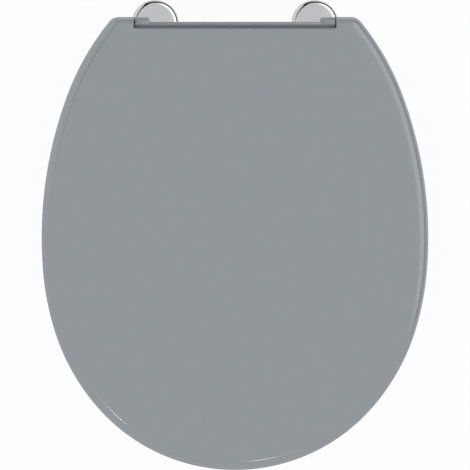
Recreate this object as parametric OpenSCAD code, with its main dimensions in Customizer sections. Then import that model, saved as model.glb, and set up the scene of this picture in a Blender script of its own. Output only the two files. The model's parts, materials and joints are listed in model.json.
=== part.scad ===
// Toilet seat with a lid, a ring, soft-close hinges and round chrome caps.
// Millimetres. Z is up and Y points to the back. The origin lies on the ceramic's
// top face, midway between the two fixing studs. The seat is modelled closed.

/* [Outline] */
// Length of the lid, front to back
lid_len = 438.8; // [420:0.1:460]
// Distance from the stud line back to the lid's rear edge
rear_overhang = 5.6; // [4:0.1:9]
// Radius of the arc across the front
front_arc_r = 176.5; // [160:0.5:190]
// Radius of the arc on each front shoulder
shoulder_arc_r = 206; // [190:1:225]
// Radius of the arc that leads into each side
lead_arc_r = 267; // [240:1:290]
// Radius of the long arc on each side
side_arc_r = 395; // [360:1:430]
// Radius of the arc towards each rear corner
rear_arc_r = 250.8; // [230:0.1:270]
// Half the lid's width at its rear edge, before its corners are rounded
rear_half_w = 118.04; // [114:0.01:124]
// Radius of the lid's rear corners
lid_corner_r = 12; // [10.5:0.1:15]

/* [Lid] */
// Height of the lid from its lower edge to its top
lid_h = 19.5; // [17:0.1:24]
// Rise of the top's middle over its rounded edge
lid_crown = 1.2; // [0.4:0.1:2.5]
// Radius of the rounded top edge
lid_edge_r = 9; // [5:0.1:10]
// Thickness of the lid's skirt
lid_wall = 4.5; // [3:0.1:6]
// Thickness of the lid's plate under its rounded edge
lid_plate = 4.3; // [3:0.1:6]
// Clear height between the ring's top and the lid's lower edge
lid_gap = 2.5; // [1.5:0.1:4]

/* [Ring] */
// Height of the ring's own section
ring_h = 19; // [16:0.1:24]
// How far the ring's edge stays inside the lid's edge
ring_inset = 3; // [1:0.1:6]
// Width of the ring's rim
rim_w = 68; // [60:0.5:76]
// Distance from the stud line forward to the opening's rear edge
opening_set = 95; // [88:0.5:110]
// Corner radius of the opening's rear
opening_corner_r = 75; // [60:1:90]
// Distance from the stud line forward to the ring's rear wall
ring_set = 21.5; // [20.5:0.1:26]
// Radius of the ring's rear corners
ring_corner_r = 10; // [7:0.1:14]
// Radius of the ring's outer top edge
ring_edge_r = 6; // [3:0.1:9]
// Radius of the ring's inner top edge
ring_inner_edge_r = 11; // [6:0.1:14]
// Fall of the sitting face towards the opening
ring_fall = 2.2; // [0:0.1:4]
// Wall thickness of the ring
ring_wall = 4.5; // [3.5:0.1:6]
// Thickness of the ribs under the ring
rib_t = 3; // [2:0.1:5]

/* [Hinge] */
// Distance between the two fixing studs
stud_spacing = 155; // [145:0.5:160]
// Distance from the lid's rear edge forward to the hinge axis
axis_set = 11.6; // [10.5:0.1:13]
// Height of the hinge axis over the ring's top
axis_rise = 2; // [1:0.1:4]
// Width of each ring lug
lug_w = 13.8; // [12:0.1:16]
// Width of each lid ear's solid boss
ear_w = 15; // [13:0.1:18]
// Distance from the hinge axis back to the bar's rear face
bar_back = 6.8; // [6.2:0.1:8]
// Height of the hinge bar's top over the hinge axis
bar_rise = 8.4; // [7.8:0.1:9.2]
// Wall thickness of the hinge bar
bar_wall = 3.2; // [2.5:0.1:4]
// Radius of the hub's barrel
hub_r = 5.8; // [5.2:0.1:6.2]
// Width of each hub
hub_w = 17.8; // [15.5:0.1:19]
// Radius of the damper cartridges
damper_r = 5.6; // [4.8:0.1:6.2]
// Radius of the damper shafts
shaft_r = 3.2; // [2.6:0.1:3.6]
// Wall thickness of the bushes
bush_wall = 1.45; // [1:0.05:2]
// Travel of each release latch
latch_travel = 2.4; // [1.8:0.1:2.6]

/* [Fixings] */
// Radius of the chrome caps
cap_r = 22.6; // [21:0.1:24]
// Height of the chrome caps over the ceramic
cap_h = 8.3; // [7.6:0.1:8.5]
// Radius of the chrome caps' round shoulder
cap_edge_r = 4.2; // [2.6:0.1:5]
// Wall thickness of the caps
cap_wall = 1.2; // [0.8:0.1:1.6]
// Thickness of the foot pads
pad_t = 1.5; // [1:0.1:2]
// Radius of the hinge posts
post_r = 5; // [4.5:0.1:5.4]
// Distance from a stud towards the middle to its hinge post
post_in = 3.5; // [2:0.1:5]
// Distance from a stud forward to its hinge post
post_forward = 12; // [11.5:0.1:12.5]
// Radius of the studs' plain shank
stud_r = 3.95; // [3.7:0.05:4.2]
// Radius of the studs' thread
thread_r = 3.6; // [3.3:0.05:3.7]
// Thickness of the ceramic that the studs clamp
ceramic_t = 38; // [25:1:50]
// Length of the studs below the ceramic's top face
stud_len = 82; // [75:1:100]

/* [Buffers] */
// Height of the ring's buffers, which set the ring over the ceramic
buffer_h = 9; // [8.9:0.1:12]
// Length of the ring's buffers
buffer_len = 44; // [30:1:55]
// Width of the ring's buffers
buffer_w = 15; // [12:0.5:20]
// Radius of the lid's buffers
lid_buffer_r = 8; // [6:0.1:11]

/* [Hidden] */
$fa = 3;
$fs = 0.6;
LEFT = -1;
RIGHT = 1;

// Colours
grey = [0.57, 0.59, 0.61];
chrome = [0.78, 0.78, 0.79];
steel = [0.62, 0.63, 0.65];
white_plastic = [0.86, 0.87, 0.87];
dark_plastic = [0.20, 0.21, 0.22];
rubber = [0.42, 0.43, 0.45];

// Clearances
run = 0.05;       // a shaft in its bore
slide_gap = 0.12; // the latch in its slot
seat_gap = 0.3;   // a soft buffer over the face it comes down on
side_gap = 0.9;   // lid ear beside ring lug
hub_gap = 0.5;    // hub beside ring lug
swing_gap = 0.5;  // lug inside the lid's swing
eps = 1;          // overlap that joins two solids of one piece

// Outline: each arc starts where the last one ends, with the same tangent.
// Angles are those of the outward normal, from the front round to the rear.
// The arcs reach the rear edge's half width at their own length, and are then
// stretched front to back to the lid's length.
arc_radii = [front_arc_r, shoulder_arc_r, lead_arc_r, side_arc_r, rear_arc_r];
arc_turns = [-90, -42, -17.5, -4.7, 20.7];
arc_steps = [12, 6, 4, 8, 5];
corner_steps = 6;
rear_steps = 4;
rear_y = rear_overhang;
front_y = rear_y - lid_len;

function dir(a) = [cos(a), sin(a)];
function arc_centre(i) = i == 0 ? [0, front_y + arc_radii[0]]
    : arc_centre(i - 1) + (arc_radii[i - 1] - arc_radii[i]) * dir(arc_turns[i]);

rear_meet = arc_centre(4)[1] + sqrt(pow(arc_radii[4], 2) - pow(rear_half_w - arc_centre(4)[0], 2));
stretch = lid_len / (rear_meet - front_y);
function stretched(p) = [p[0], front_y + (p[1] - front_y) * stretch];
function drawn(y) = front_y + (y - front_y) / stretch;

// The angle at which a rear corner leaves arc number last
function corner_turn(inset, rear, rc, last) =
    asin((rear - rc - arc_centre(last)[1]) / (arc_radii[last] - inset - rc));
function corner_centre(inset, rear, rc, last) =
    arc_centre(last) + (arc_radii[last] - inset - rc) * dir(corner_turn(inset, rear, rc, last));

// Points of the right half from the front to the rear corner's end. A path that
// leaves the arcs early gives the steps it saves to its corner, so that every
// path has the same number of points.
function saved_steps(last, i = 4) = i > last ? arc_steps[i] + saved_steps(last, i - 1) : 0;
function half_path(inset, rear, rc, last) = let (
    turn = corner_turn(inset, rear, rc, last),
    centre = corner_centre(inset, rear, rc, last),
    n = corner_steps + saved_steps(last)
) concat(
    [for (i = [0:last], k = [0:arc_steps[i] - 1]) let (
        stop = i == last ? turn : arc_turns[i + 1],
        a = arc_turns[i] + (stop - arc_turns[i]) * k / arc_steps[i]
    ) arc_centre(i) + (arc_radii[i] - inset) * dir(a)],
    [for (k = [0:n]) centre + rc * dir(turn + (90 - turn) * k / n)]
);
// The straight rear stretch, from a corner's end to the middle
function rear_path(inset, rear, rc, last, steps) = let (c = corner_centre(inset, rear, rc, last))
    [for (k = [1:1:steps]) [c[0] * (1 - k / steps), rear]];
// The whole outline, closed, without a repeated point
function outline(inset, rear, rc, last = 4, steps = 0) = let (
    edge = drawn(rear),
    half = [for (p = concat(half_path(inset, edge, rc, last), rear_path(inset, edge, rc, last, steps)))
        stretched(p)],
    n = len(half),
    stop = steps > 0 ? n - 2 : n - 1
) concat(half, [for (k = [stop:-1:1]) [-half[k][0], half[k][1]]]);

// A point on the rim, inset from the lid's outline, where the normal has angle a
function arc_at(a, i = 4) = i == 0 || a >= arc_turns[i] ? i : arc_at(a, i - 1);
function on_rim(a, inset) =
    stretched(arc_centre(arc_at(a)) + (arc_radii[arc_at(a)] - inset) * dir(a));

// Heights
ring_z = buffer_h;
ring_top = ring_z + ring_h;
ring_ceiling = ring_top - ring_wall;
lid_z = ring_top + lid_gap;
lid_top = lid_z + lid_h;
lid_edge_top = lid_top - lid_crown;
lid_under = lid_edge_top - lid_plate;
axis_y = rear_y - axis_set;
axis_z = ring_top + axis_rise;
bar_top = axis_z + bar_rise;
bar_rear = axis_y + bar_back;
swing_r = lid_under - axis_z - swing_gap;
ear_r = axis_set - 0.3;
bar_rise_w = 7; // run of the slope from the ring's top up to the hinge bar
bar_foot = -ring_set - ring_wall - bar_rise_w;

// Places across the hinge, measured from the middle. The hub stands over its
// post, with the ring's lug outside it and the lid's ear outside the lug.
stud_x = stud_spacing / 2;
post_x = stud_x - post_in;
post_y = -post_forward;
hub_in = post_x - hub_w / 2;
hub_out = post_x + hub_w / 2;
lug_in = hub_out + hub_gap;
lug_reach = lug_in + lug_w;
ear_in = lug_reach + side_gap;
ear_out = ear_in + ear_w;
pocket_in = hub_in - 2.5;
damper_in = lug_in + 0.6;
damper_out = ear_out - 3;
key_w = 2;
key_h = 1.2;
key_in = ear_in + 3;

// Fixings
plate_r = cap_r - cap_wall - 0.4;
plate_chamfer = 0.5 * cap_edge_r;
plate_top = cap_h - cap_wall - 0.9;
head_af = 13;
head_t = 2.8;
head_z = plate_top - head_t - 0.1;
socket_z = pad_t + 0.8;
post_top = axis_z - shaft_r - 1.6;
hub_z = cap_h + 0.2;
hub_front = post_y - post_r - 2.2;
hub_rear = post_y + post_r + 2.2;
latch_z = 0.5 * (hub_z + axis_z - hub_r) - 0.2;
latch_t = 3;
latch_w = 13.2;
latch_hole_r = post_r + 0.4;
groove_r = latch_hole_r - latch_travel - 0.2;
button_h = 8;
button_w = 12;
cone_t = 14;
cone_r = 13;
cone_rim_t = 3;
cone_top_r = 7.5;
washer_t = 3;
washer_r = 16;
nut_h = 14;
nut_r = 8.5;
wing_r = 6.8;
wing_t = 3.6;
wing_x = 15;
wing_root_x = 5;
wing_root_w = 12;
wing_root_z = 1;
wing_root_h = 9;
collar_r = 5;
shank_len = ceramic_t - cone_t / 2 - 1;

// A closed solid through a list of loops of equal length, capped at both ends
module loft(loops) {
    n = len(loops[0]);
    m = len(loops);
    polyhedron(
        points = [for (l = loops) for (p = l) p],
        faces = concat(
            [[for (k = [n - 1:-1:0]) k]],
            [for (j = [0:m - 2]) for (k = [0:n - 1]) let (
                a = j * n + k, b = j * n + (k + 1) % n
            ) each [[a, b, a + n], [b, b + n, a + n]]],
            [[for (k = [0:n - 1]) (m - 1) * n + k]]
        ),
        convexity = 6
    );
}

// A closed tube through sections of equal length, the last joined to the first
module ring_loft(sections) {
    n = len(sections[0]);
    m = len(sections);
    polyhedron(
        points = [for (s = sections) for (p = s) p],
        faces = [for (j = [0:m - 1]) for (k = [0:n - 1]) let (
            j2 = (j + 1) % m, k2 = (k + 1) % n,
            a = j * n + k, b = j * n + k2, c = j2 * n + k2, d = j2 * n + k
        ) each [[a, b, c], [a, c, d]]],
        convexity = 10
    );
}

// A solid of revolution or a bar that lies along X, from x0 to x1
module along_x(x0, x1) {
    translate([x0, 0, 0]) rotate([90, 0, 90]) linear_extrude(x1 - x0) children();
}
module hinge_cylinder(x0, x1, r) {
    along_x(x0, x1) translate([axis_y, axis_z]) circle(r);
}
// A piece drawn on the right, put on the side that is named
module on_side(side) {
    mirror([side == LEFT ? 1 : 0, 0, 0]) children();
}
module oblong(length, width) {
    square([length - width, width], center = true);
    for (s = [-1, 1]) translate([s * (length - width) / 2, 0]) circle(width / 2);
}

// Lid: profile of its edge as [inset, height], from the top down and back up inside
lid_lip = 1.2;
lid_inner_r = 3;
lid_profile = concat(
    [for (a = [0:15:90]) [lid_edge_r * (1 - sin(a)), lid_edge_top - lid_edge_r * (1 - cos(a))]],
    [[0, lid_z + lid_lip], [lid_lip, lid_z], [lid_wall, lid_z]],
    [for (a = [90:-45:0]) [lid_wall + lid_inner_r * (1 - sin(a)), lid_under - lid_inner_r * (1 - cos(a))]]
);
// Share of the way from the edge to the lid's middle line, for the crowned top
crown_shares = [0.6, 0.3];
function middle_y(y) = min(max(y, front_y + 0.4 * lid_len), rear_y - 0.2 * lid_len);
function lid_loop(inset) = outline(inset, rear_y - inset, lid_corner_r - inset);
function at_height(loop, z) = [for (p = loop) [p[0], p[1], z]];
function crown_loop(share) = [for (p = lid_loop(lid_edge_r)) [
    p[0] * (1 - share),
    p[1] + (middle_y(p[1]) - p[1]) * share,
    lid_edge_top + lid_crown * (1 - pow(1 - share, 2)) / (1 - pow(1 - crown_shares[0], 2))
]];
lid_loops = concat(
    [for (s = crown_shares) crown_loop(s)],
    [for (q = lid_profile) at_height(lid_loop(q[0]), q[1])]
);

// Buffer places: angle of the outline's normal and inset from the lid's outline
lid_buffer_inset = ring_inset + 17;
lid_buffer_turns = [-50, 14];
ring_buffer_inset = ring_inset + rim_w / 2;
ring_buffer_turns = [-48, 12];
boss_drop = 4;
peg_r = 2.6;
peg_len = 3;

module at_lid_buffer(side, place) {
    p = on_rim(lid_buffer_turns[place], lid_buffer_inset);
    translate([side * p[0], p[1], 0]) children();
}

module lid() {
    notch_front = axis_y + 0.7;
    color(grey) difference() {
        union() {
            difference() {
                loft(lid_loops);
                translate([-ear_in, notch_front, lid_z - eps])
                    cube([2 * ear_in, rear_y - notch_front + eps, lid_h + 2 * eps]);
            }
            for (side = [LEFT, RIGHT]) {
                on_side(side) lid_ear();
                for (place = [0, 1]) at_lid_buffer(side, place)
                    translate([0, 0, lid_under - boss_drop])
                        cylinder(h = boss_drop + eps, r = lid_buffer_r + 2);
            }
            // Rib that closes the lid's hollow in front of the hinge bar
            translate([-ear_in - 8, lid_rib_y, lid_z + 0.8])
                cube([2 * ear_in + 16, rib_t, lid_under - lid_z - 0.8 + eps]);
        }
        // Bore for the lid damper's cartridge, with its keyway
        on_side(LEFT) {
            hinge_cylinder(ear_in - eps, damper_out + 0.5, damper_r + run);
            translate([ear_in - eps, axis_y - key_w / 2 - 0.1, axis_z])
                cube([damper_out + 0.5 - ear_in + eps, key_w + 0.2, damper_r + key_h + 0.1]);
        }
        // Bore for the bush
        on_side(RIGHT) hinge_cylinder(ear_in - eps, damper_out + 0.5, damper_r + 2 * run + bush_wall);
        for (side = [LEFT, RIGHT], place = [0, 1]) at_lid_buffer(side, place)
            translate([0, 0, lid_under - boss_drop - eps])
                cylinder(h = peg_len + 0.2 + eps, r = peg_r + run);
    }
}
bar_clear = 4.5; // free way in front of the hinge bar's foot
lid_rib_y = bar_foot - bar_clear - rib_t;
ear_shoulder = max(axis_z, lid_edge_top - lid_edge_r); // above it the ear stays inside the lid's round edge
// Solid ear that comes down from the lid's plate round the hinge axis
module lid_ear() {
    along_x(ear_in, ear_out) {
        translate([axis_y, axis_z]) circle(ear_r);
        polygon([[axis_y - ear_r, axis_z], [axis_y + ear_r, axis_z], [axis_y + ear_r, ear_shoulder],
            [axis_y + ear_r - 3, lid_under + eps], [axis_y - ear_r, lid_under + eps]]);
    }
    // Web that carries the ear's load forward into the plate
    along_x(ear_in + 4, ear_in + 4 + rib_t)
        polygon([[axis_y, lid_z + 0.8], [axis_y, lid_under + eps], [lid_rib_y + eps, lid_under + eps],
            [lid_rib_y + eps, lid_z + 0.8]]);
}

// Ring: section as [offset, share of the rim's width, height]
ring_lip = 1;
ring_in_top = ring_top - ring_fall;
ring_profile = concat(
    [[ring_lip, 0, ring_z], [0, 0, ring_z + ring_lip]],
    [for (a = [90:-22.5:0]) [ring_edge_r * (1 - sin(a)), 0, ring_top - ring_edge_r * (1 - cos(a))]],
    [[0, 0.5, ring_top - 0.2 * ring_fall]],
    [for (a = [0:18:90]) [-ring_inner_edge_r * (1 - sin(a)), 1, ring_in_top - ring_inner_edge_r * (1 - cos(a))]],
    [[0, 1, ring_z + ring_lip], [-ring_lip, 1, ring_z], [-ring_wall, 1, ring_z],
        [-ring_wall, 1, ring_ceiling - ring_fall], [ring_wall, 0, ring_ceiling], [ring_wall, 0, ring_z]]
);
ring_outer = outline(ring_inset, -ring_set, ring_corner_r, 4, rear_steps);
ring_inner = outline(ring_inset + rim_w, -opening_set, opening_corner_r, 3, rear_steps);
ring_sections = [for (k = [0:len(ring_outer) - 1]) let (
    p = ring_outer[k], q = ring_inner[k], w = norm(q - p), u = (q - p) / w
) [for (s = ring_profile) let (d = s[0] + s[1] * w) [p[0] + u[0] * d, p[1] + u[1] * d, s[2]]]];

rib_turns = [-78, -62, -34, -20, -4];
// Ribs that run front to back behind the opening: their distance from the middle
rear_rib_x = [40, 88];
rib_z = ring_z + 3;
rib_h = ring_ceiling - ring_fall + 0.5 - rib_z;
// The opening's edge behind its middle, at distance x from the middle
function opening_rear_y(x) = let (
    c = corner_centre(ring_inset + rim_w, drawn(-opening_set), opening_corner_r, 3),
    rise = x > c[0] ? sqrt(pow(opening_corner_r, 2) - pow(x - c[0], 2)) : opening_corner_r
) stretched([x, c[1] + rise])[1];
module at_rim(side, turn, inset) {
    p = on_rim(turn, inset);
    on_side(side) translate([p[0], p[1], 0]) rotate(turn) children();
}
module at_ring_buffer(side, place) {
    at_rim(side, ring_buffer_turns[place], ring_buffer_inset) children();
}

module seat_ring() {
    color(grey) difference() {
        union() {
            ring_loft(ring_sections);
            hinge_bar();
            for (side = [LEFT, RIGHT]) {
                on_side(side) ring_lug();
                for (t = rib_turns) at_rim(side, t, ring_buffer_inset)
                    translate([-rim_w / 2 + ring_wall - 0.5, -rib_t / 2, rib_z])
                        cube([rim_w - 2 * ring_wall + 1, rib_t, rib_h]);
                for (x = rear_rib_x) let (from = opening_rear_y(x) + ring_wall - 0.5)
                    translate([side * x - rib_t / 2, from, rib_z])
                        cube([rib_t, -ring_set - ring_wall + 0.5 - from, rib_h]);
                for (place = [0, 1]) at_ring_buffer(side, place) rotate(90)
                    translate([0, 0, ring_z + 1]) linear_extrude(ring_ceiling - ring_z)
                        oblong(buffer_len + 4, buffer_w + 4);
            }
        }
        // Pockets under the bar, each with room for a hub that stands still
        for (side = [LEFT, RIGHT]) on_side(side) hub_pocket();
        on_side(LEFT) hinge_cylinder(lug_in - eps, lug_reach + eps, damper_r + 2 * run + bush_wall);
        on_side(RIGHT) {
            hinge_cylinder(lug_in - eps, lug_reach + eps, damper_r + run);
            translate([lug_in - eps, axis_y - key_w / 2 - 0.1, axis_z])
                cube([lug_w + 2 * eps, key_w + 0.2, damper_r + key_h + 0.1]);
        }
        for (side = [LEFT, RIGHT], place = [0, 1]) at_ring_buffer(side, place)
            for (s = [-1, 1]) translate([0, s * buffer_len / 4, ring_z])
                cylinder(h = 1 + peg_len + 0.2, r = peg_r + run);
    }
}

// Raised bar along the ring's rear, hollow from below
module hinge_bar() {
    low = axis_z - 10;
    along_x(-lug_in - eps, lug_in + eps) intersection() {
        difference() {
            polygon([[bar_rear, low], [bar_rear, bar_top], [-ring_set - 2.5, bar_top],
                [bar_foot, ring_top - 0.5], [bar_foot, ring_ceiling + 0.5],
                [-ring_set - ring_wall + 0.5, ring_ceiling + 0.5], [-ring_set - ring_wall + 0.5, low]]);
            translate([-ring_set, low - eps])
                square([bar_rear - bar_wall + ring_set, bar_top - bar_wall - low + eps]);
        }
        union() {
            translate([axis_y, axis_z]) circle(swing_r);
            translate([axis_y - lid_len, 0]) square([lid_len, 2 * lid_top]);
        }
    }
}
module ring_lug() {
    along_x(lug_in, lug_reach) {
        intersection() {
            union() {
                translate([axis_y, axis_z]) circle(axis_set);
                translate([axis_y, axis_z]) square([axis_set, bar_rise]);
            }
            translate([axis_y, axis_z]) circle(swing_r);
            translate([axis_y - lid_len, 0]) square([2 * lid_len, bar_top]);
        }
        polygon([[axis_y, axis_z - axis_set + 2], [axis_y, bar_top], [-ring_set - 2.5, bar_top],
            [bar_foot, ring_top - 0.5], [bar_foot, ring_ceiling + 0.5],
            [-ring_set - ring_wall + 0.5, ring_ceiling + 0.5],
            [-ring_set - ring_wall + 0.5, axis_z - axis_set + 2]]);
    }
}
module hub_pocket() {
    height = hub_r + 0.4;
    translate([pocket_in, -ring_set, 0])
        cube([lug_in - pocket_in, ring_set + bar_rear + eps, axis_z + height]);
}

// Dampers: the cartridge turns with one piece and its shaft is keyed in the hub
module cartridge(key_from, key_to) {
    color(dark_plastic) {
        difference() {
            hinge_cylinder(damper_in, damper_out, damper_r);
            hinge_cylinder(damper_in - eps, damper_in + 12, shaft_r + run);
        }
        translate([key_from, axis_y - key_w / 2, axis_z + damper_r - 0.5])
            cube([key_to - key_from, key_w, key_h + 0.5]);
    }
}
module damper_shaft() {
    color(steel) difference() {
        hinge_cylinder(hub_in + 1.2, damper_in + 11, shaft_r);
        shaft_flats(hub_in, hub_out - 1.5, 0);
    }
}
// The two flats of a shaft's inner end
module shaft_flats(x0, x1, gap) {
    for (s = [-1, 1]) translate([x0, axis_y + s * (shaft_r + 2) - 2.7 - gap, axis_z - shaft_r - 1])
        cube([x1 - x0, 5.4 + 2 * gap, 2 * shaft_r + 2]);
}
module bush(x0, x1) {
    color(white_plastic) difference() {
        hinge_cylinder(x0, x1, damper_r + run + bush_wall);
        hinge_cylinder(x0 - eps, x1 + eps, damper_r + run);
    }
}

// Hub on its post, with a slot for the latch
module hinge_hub() {
    color(dark_plastic) difference() {
        along_x(hub_in, hub_out) {
            translate([axis_y, axis_z]) circle(hub_r);
            translate([hub_front, hub_z]) square([hub_rear - hub_front, axis_z - hub_z - 2]);
            translate([hub_front + 4, hub_z]) square([axis_y - hub_front - 4, axis_z - hub_z + 2]);
            translate([hub_front + 4, axis_z - 2]) circle(4);
        }
        translate([post_x, post_y, hub_z - eps]) cylinder(h = post_top - hub_z + eps + 0.3, r = post_r + run);
        difference() {
            hinge_cylinder(hub_in + 1, hub_out + eps, shaft_r + run);
            shaft_flats(hub_in, hub_out - 1.5 - 0.3, -run);
        }
        translate([post_x - latch_w / 2 - slide_gap, hub_front - eps, latch_z - slide_gap])
            cube([latch_w + 2 * slide_gap, hub_rear - hub_front + 2 * eps, latch_t + 2 * slide_gap]);
    }
}

// Latch: a plate whose hole grips the post's groove, and the button that moves it
module release_latch() {
    color(white_plastic) {
        difference() {
            translate([post_x - latch_w / 2, post_y + latch_travel - latch_hole_r - 2.0, latch_z])
                cube([latch_w, hub_rear - post_y - latch_travel + latch_hole_r + 2.0 + latch_travel + 0.3, latch_t]);
            translate([post_x, post_y + latch_travel, latch_z - eps])
                cylinder(h = latch_t + 2 * eps, r = latch_hole_r);
        }
        translate([post_x - button_w / 2, hub_rear + latch_travel + 0.2, latch_z + latch_t / 2 - button_h / 2])
            cube([button_w, 1.6, button_h]);
    }
}

module hinge_post() {
    color(steel) translate([post_x, post_y, 0]) rotate_extrude() {
        polygon([[0, socket_z], [post_r, socket_z], [post_r, latch_z - 0.2], [groove_r, latch_z - 0.2],
            [groove_r, latch_z + latch_t + 0.2], [post_r, latch_z + latch_t + 0.2],
            [post_r, post_top - 1.5], [post_r - 1.5, post_top], [0, post_top]]);
    }
}

// Half section of a disc with a round shoulder
module shouldered(r, h, edge_r) {
    square([r - edge_r, h]);
    square([r, h - edge_r]);
    translate([r - edge_r, h - edge_r]) circle(edge_r);
}
// Cap: a turned shell with a round shoulder and a flat face
module cap() {
    color(chrome) translate([stud_x, 0, 0]) difference() {
        rotate_extrude() difference() {
            intersection() {
                shouldered(cap_r, cap_h, cap_edge_r);
                translate([0, 0.4]) square([cap_r, cap_h]);
            }
            shouldered(cap_r - cap_wall, cap_h - cap_wall, cap_edge_r - cap_wall);
        }
        translate([-post_in, -post_forward, 0]) cylinder(h = cap_h + eps, r = post_r + 0.4);
    }
}

module hex_prism(h, af) {
    rotate(atan2(-post_forward, -post_in) - 30) cylinder(h = h, r = af / sqrt(3), $fn = 6);
}
module base_plate() {
    color(dark_plastic) difference() {
        translate([stud_x, 0, pad_t]) {
            cylinder(h = plate_top - pad_t - plate_chamfer, r = plate_r);
            cylinder(h = plate_top - pad_t, r = plate_r - plate_chamfer);
            translate([0, 0, plate_top - pad_t - plate_chamfer])
                cylinder(h = plate_chamfer, r1 = plate_r, r2 = plate_r - plate_chamfer);
        }
        translate([stud_x, 0, 0]) cylinder(h = cap_h, r = collar_r + 0.2);
        translate([stud_x, 0, head_z]) hex_prism(cap_h, head_af + 0.3);
        translate([post_x, post_y, socket_z]) cylinder(h = cap_h, r = post_r + run);
    }
}
module foot_pad() {
    color(rubber) translate([stud_x, 0, 0]) difference() {
        cylinder(h = pad_t, r = plate_r - 0.3);
        translate([0, 0, -eps]) cylinder(h = pad_t + 2 * eps, r = collar_r + 0.5);
    }
}
// Stud: thread below, plain shank in the ceramic, collar in the base plate, hex head
module stud() {
    color(steel) translate([stud_x, 0, 0]) {
        rotate_extrude() polygon([[0, -stud_len], [thread_r - 0.8, -stud_len], [thread_r, -stud_len + 0.8],
            [thread_r, -shank_len], [stud_r, -shank_len], [stud_r, 0], [collar_r, 0],
            [collar_r, head_z + 0.5], [0, head_z + 0.5]]);
        translate([0, 0, head_z]) hex_prism(head_t, head_af);
    }
}
module cone_washer() {
    color(rubber) translate([stud_x, 0, -ceramic_t - cone_t / 2]) rotate_extrude()
        polygon([[thread_r + 0.2, 0], [cone_r, 0], [cone_r, cone_rim_t], [cone_top_r, cone_t],
            [thread_r + 0.2, cone_t]]);
}
module clamp_washer() {
    color(white_plastic) translate([stud_x, 0, -ceramic_t - cone_t / 2 - washer_t]) difference() {
        cylinder(h = washer_t, r = washer_r);
        translate([0, 0, -eps]) cylinder(h = washer_t + 2 * eps, r = thread_r + 0.2);
    }
}
module wing_nut() {
    color(white_plastic) translate([stud_x, 0, -ceramic_t - cone_t / 2 - washer_t - nut_h]) difference() {
        union() {
            cylinder(h = nut_h, r = nut_r);
            for (s = [-1, 1]) scale([s, 1, 1]) translate([0, wing_t / 2, 0]) rotate([90, 0, 0])
                linear_extrude(wing_t) {
                    translate([wing_x, wing_r]) circle(wing_r);
                    translate([wing_root_x, wing_root_z]) square([wing_root_w, wing_root_h]);
                }
        }
        translate([0, 0, -eps]) cylinder(h = nut_h + 2 * eps, r = thread_r + run);
    }
}

module ring_buffer(side, place) {
    color(rubber) at_ring_buffer(side, place) {
        rotate(90) linear_extrude(ring_z + 1) oblong(buffer_len, buffer_w);
        for (s = [-1, 1]) translate([0, s * buffer_len / 4, ring_z]) cylinder(h = 1 + peg_len, r = peg_r);
    }
}
module lid_buffer(side, place) {
    color(rubber) at_lid_buffer(side, place) {
        translate([0, 0, ring_top + seat_gap])
            cylinder(h = lid_under - boss_drop - ring_top - seat_gap, r = lid_buffer_r);
        translate([0, 0, lid_under - boss_drop - 0.5]) cylinder(h = peg_len + 0.5, r = peg_r);
    }
}

lid();
seat_ring();
lid_buffer(LEFT, 0);  // lid_buffer_front_left
lid_buffer(RIGHT, 0);  // lid_buffer_front_right
lid_buffer(LEFT, 1);  // lid_buffer_rear_left
lid_buffer(RIGHT, 1);  // lid_buffer_rear_right
ring_buffer(LEFT, 0);  // ring_buffer_front_left
ring_buffer(RIGHT, 0);  // ring_buffer_front_right
ring_buffer(LEFT, 1);  // ring_buffer_rear_left
ring_buffer(RIGHT, 1);  // ring_buffer_rear_right
on_side(LEFT) cartridge(key_in, damper_out);  // lid_damper_cartridge
on_side(RIGHT) cartridge(lug_in + 2, lug_reach - 2);  // ring_damper_cartridge
on_side(LEFT) damper_shaft();  // lid_damper_shaft
on_side(RIGHT) damper_shaft();  // ring_damper_shaft
on_side(LEFT) bush(lug_in + 0.5, lug_reach);  // lug_bush
on_side(RIGHT) bush(ear_in, damper_out);  // ear_bush
on_side(LEFT) hinge_hub();  // hinge_hub_left
on_side(RIGHT) hinge_hub();  // hinge_hub_right
on_side(LEFT) release_latch();  // release_latch_left
on_side(RIGHT) release_latch();  // release_latch_right
on_side(LEFT) hinge_post();  // hinge_post_left
on_side(RIGHT) hinge_post();  // hinge_post_right
on_side(LEFT) cap();  // cap_left
on_side(RIGHT) cap();  // cap_right
on_side(LEFT) base_plate();  // base_plate_left
on_side(RIGHT) base_plate();  // base_plate_right
on_side(LEFT) foot_pad();  // foot_pad_left
on_side(RIGHT) foot_pad();  // foot_pad_right
on_side(LEFT) stud();  // stud_left
on_side(RIGHT) stud();  // stud_right
on_side(LEFT) cone_washer();  // cone_washer_left
on_side(RIGHT) cone_washer();  // cone_washer_right
on_side(LEFT) clamp_washer();  // clamp_washer_left
on_side(RIGHT) clamp_washer();  // clamp_washer_right
on_side(LEFT) wing_nut();  // wing_nut_left
on_side(RIGHT) wing_nut();  // wing_nut_right
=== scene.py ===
# %% [markdown]
# # A grey toilet seat with round chrome caps
# The seat is a lid over a ring, both moulded from a glossy grey thermoset. They turn
# on soft-close dampers in two hubs, which stand on posts in round chrome caps.
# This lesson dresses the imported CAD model: the large moulded shells are made again
# as smooth surfaces, and the small parts get rounded edges and real finishes.

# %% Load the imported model
import json
import math
import bmesh
import bpy
from mathutils import Matrix, Vector

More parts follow.
